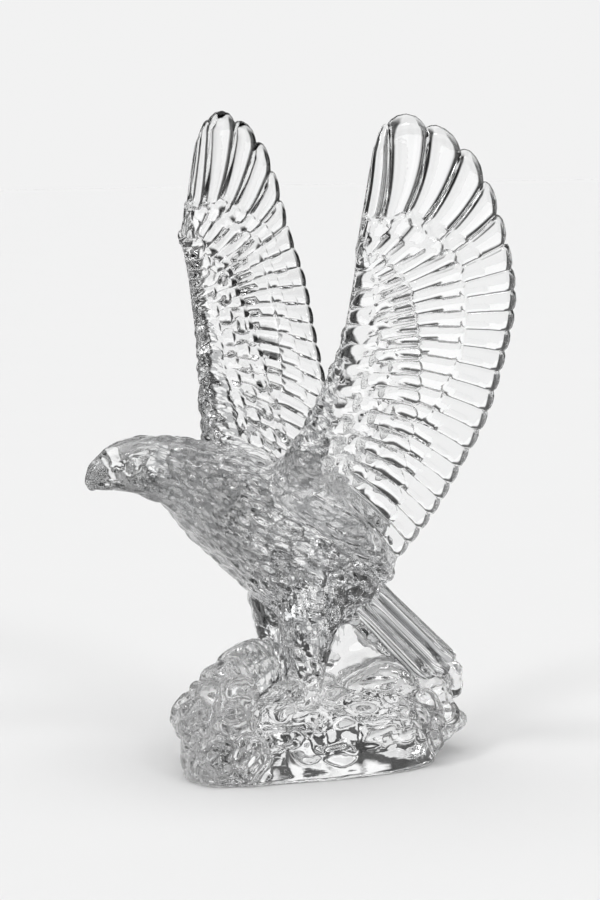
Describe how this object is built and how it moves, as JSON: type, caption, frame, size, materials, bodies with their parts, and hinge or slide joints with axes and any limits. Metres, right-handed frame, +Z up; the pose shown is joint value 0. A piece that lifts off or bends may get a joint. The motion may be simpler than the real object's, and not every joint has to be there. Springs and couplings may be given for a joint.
{
  "type": "crystal eagle figurine",
  "caption": "Clear crystal eagle with raised wings, fanned tail and gripping feet, cast in one with its rock base.",
  "frame": {"origin": "on the flat underside of the rock base, below the bird's breast", "axes": "+Z up, -X the way the bird looks, -Y its left side"},
  "size_m": [0.1619, 0.166, 0.2499],
  "materials": {
    "crystal": "clear polished crystal"
  },
  "bodies": {
    "root": {"crystal_eagle": "crystal"}
  },
  "joints": []
}
